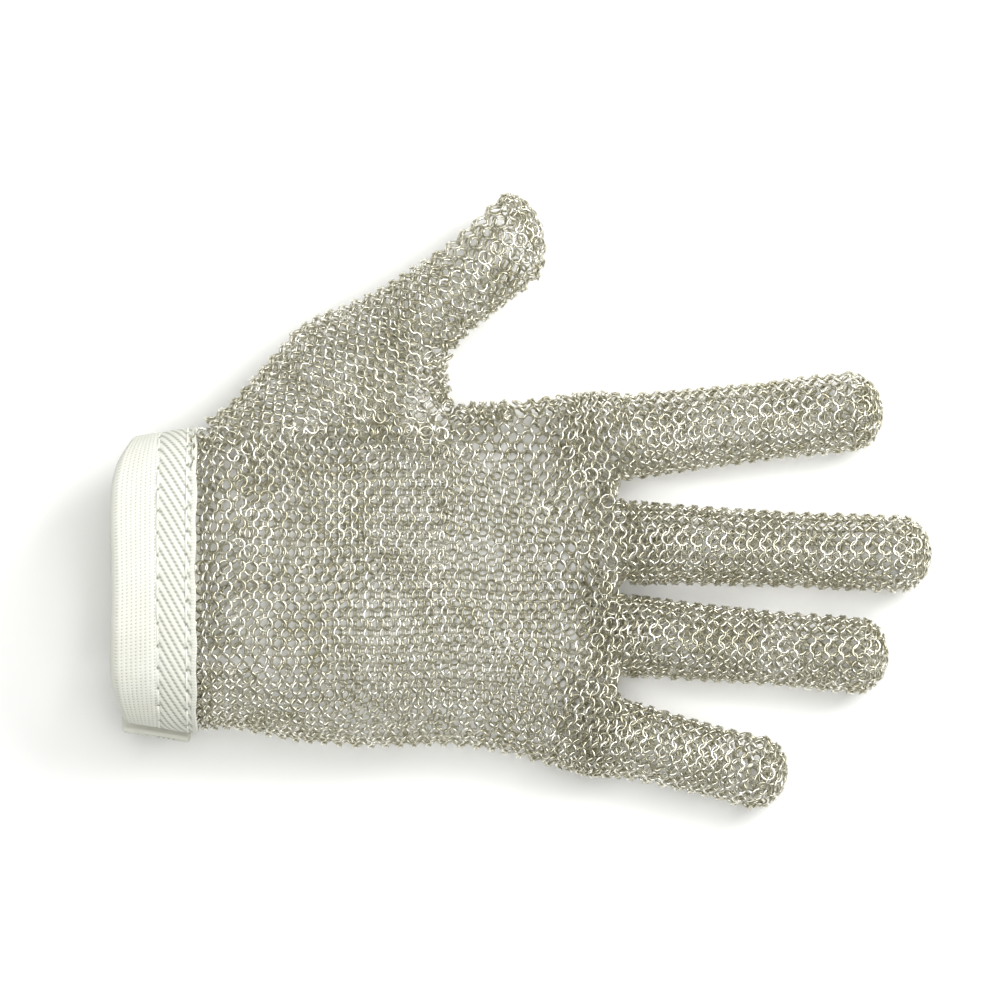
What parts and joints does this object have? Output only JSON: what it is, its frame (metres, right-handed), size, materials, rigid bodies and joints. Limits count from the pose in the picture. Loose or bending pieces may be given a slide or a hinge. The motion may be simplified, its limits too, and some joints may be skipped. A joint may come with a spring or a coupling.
{
  "type": "cut resistant glove",
  "caption": "Left-hand cut resistant glove of linked steel rings, in the shape of an open hand, with a white herringbone tape cuff and press-stud tab.",
  "frame": {"origin": "middle of the glove's length and width, on the surface that its back lies on", "axes": "+X from the wrist to the fingertips, +Y towards the thumb, +Z out of the palm"},
  "size_m": [0.202, 0.1524, 0.0454],
  "materials": {
    "steel_mesh": "bright stainless wire, welded rings",
    "tape": "white herringbone twill tape",
    "thread": "white sewing thread",
    "press_stud": "nickel plated brass"
  },
  "bodies": {
    "hand": {"palm_mesh": "steel_mesh", "back_mesh": "steel_mesh", "thumb_base_mesh": "steel_mesh", "cuff_tape": "tape", "cuff_stitching_front": "thread", "cuff_stitching_centre": "thread", "tab_anchor": "tape", "tab_bar_tack": "thread", "stud_post": "press_stud", "stud_rivet": "press_stud"},
    "closing_tab": {"closing_tab": "tape", "stud_cap": "press_stud", "stud_socket": "press_stud"},
    "index_proximal": {"index_proximal_mesh": "steel_mesh"},
    "index_middle": {"index_middle_mesh": "steel_mesh"},
    "index_distal": {"index_distal_mesh": "steel_mesh"},
    "middle_proximal": {"middle_proximal_mesh": "steel_mesh"},
    "middle_middle": {"middle_middle_mesh": "steel_mesh"},
    "middle_distal": {"middle_distal_mesh": "steel_mesh"},
    "ring_proximal": {"ring_proximal_mesh": "steel_mesh"},
    "ring_middle": {"ring_middle_mesh": "steel_mesh"},
    "ring_distal": {"ring_distal_mesh": "steel_mesh"},
    "little_proximal": {"little_proximal_mesh": "steel_mesh"},
    "little_middle": {"little_middle_mesh": "steel_mesh"},
    "little_distal": {"little_distal_mesh": "steel_mesh"},
    "thumb_proximal": {"thumb_proximal_mesh": "steel_mesh"},
    "thumb_distal": {"thumb_distal_mesh": "steel_mesh"}
  },
  "joints": [
    {"name": "index_base_bend", "type": "hinge", "parent": "hand", "child": "index_proximal", "pos_m": [0.03098, 0.01653, 0.0154], "axis": [0.1115, -0.9938, 0], "range_deg": [0, 60]},
    {"name": "index_middle_bend", "type": "hinge", "parent": "index_proximal", "child": "index_middle", "pos_m": [0.05536, 0.01926, 0.0154], "axis": [0.1115, -0.9938, 0], "range_deg": [0, 70]},
    {"name": "index_end_bend", "type": "hinge", "parent": "index_middle", "child": "index_distal", "pos_m": [0.07161, 0.02109, 0.0154], "axis": [0.1115, -0.9938, 0], "range_deg": [0, 42]},
    {"name": "middle_base_bend", "type": "hinge", "parent": "hand", "child": "middle_proximal", "pos_m": [0.03248, -0.01047, 0.0154], "axis": [-0.0419, -0.9991, 0], "range_deg": [0, 60]},
    {"name": "middle_middle_bend", "type": "hinge", "parent": "middle_proximal", "child": "middle_middle", "pos_m": [0.06127, -0.01168, 0.0154], "axis": [-0.0419, -0.9991, 0], "range_deg": [0, 70]},
    {"name": "middle_end_bend", "type": "hinge", "parent": "middle_middle", "child": "middle_distal", "pos_m": [0.08046, -0.01248, 0.0154], "axis": [-0.0419, -0.9991, 0], "range_deg": [0, 42]},
    {"name": "ring_base_bend", "type": "hinge", "parent": "hand", "child": "ring_proximal", "pos_m": [0.03098, -0.03367, 0.0153], "axis": [-0.0872, -0.9962, 0], "range_deg": [0, 60]},
    {"name": "ring_middle_bend", "type": "hinge", "parent": "ring_proximal", "child": "ring_middle", "pos_m": [0.05592, -0.03585, 0.0153], "axis": [-0.0872, -0.9962, 0], "range_deg": [0, 70]},
    {"name": "ring_end_bend", "type": "hinge", "parent": "ring_middle", "child": "ring_distal", "pos_m": [0.07254, -0.03731, 0.0153], "axis": [-0.0872, -0.9962, 0], "range_deg": [0, 42]},
    {"name": "little_base_bend", "type": "hinge", "parent": "hand", "child": "little_proximal", "pos_m": [0.02748, -0.05937, 0.015], "axis": [-0.2453, -0.9694, 0], "range_deg": [0, 60]},
    {"name": "little_middle_bend", "type": "hinge", "parent": "little_proximal", "child": "little_middle", "pos_m": [0.04256, -0.06319, 0.015], "axis": [-0.2453, -0.9694, 0], "range_deg": [0, 70]},
    {"name": "little_end_bend", "type": "hinge", "parent": "little_middle", "child": "little_distal", "pos_m": [0.05312, -0.06586, 0.015], "axis": [-0.2453, -0.9694, 0], "range_deg": [0, 42]},
    {"name": "thumb_base_bend", "type": "hinge", "parent": "hand", "child": "thumb_proximal", "pos_m": [-0.03002, 0.04293, 0.0224], "axis": [0.5976, -0.8018, 0], "range_deg": [0, 40]},
    {"name": "thumb_end_bend", "type": "hinge", "parent": "thumb_proximal", "child": "thumb_distal", "pos_m": [-0.01105, 0.05707, 0.0224], "axis": [0.5976, -0.8018, 0], "range_deg": [0, 60]},
    {"name": "tab_swing", "type": "hinge", "parent": "hand", "child": "closing_tab", "pos_m": [-0.09052, -0.02194, 0.00294], "axis": [0.9964, -0.0118, -0.0845], "range_deg": [0, 95]}
  ],
  "couplings": [
    {"joint": "index_end_bend", "follows": "index_middle_bend", "ratio": 0.6},
    {"joint": "middle_end_bend", "follows": "middle_middle_bend", "ratio": 0.6},
    {"joint": "ring_end_bend", "follows": "ring_middle_bend", "ratio": 0.6},
    {"joint": "little_end_bend", "follows": "little_middle_bend", "ratio": 0.6}
  ]
}
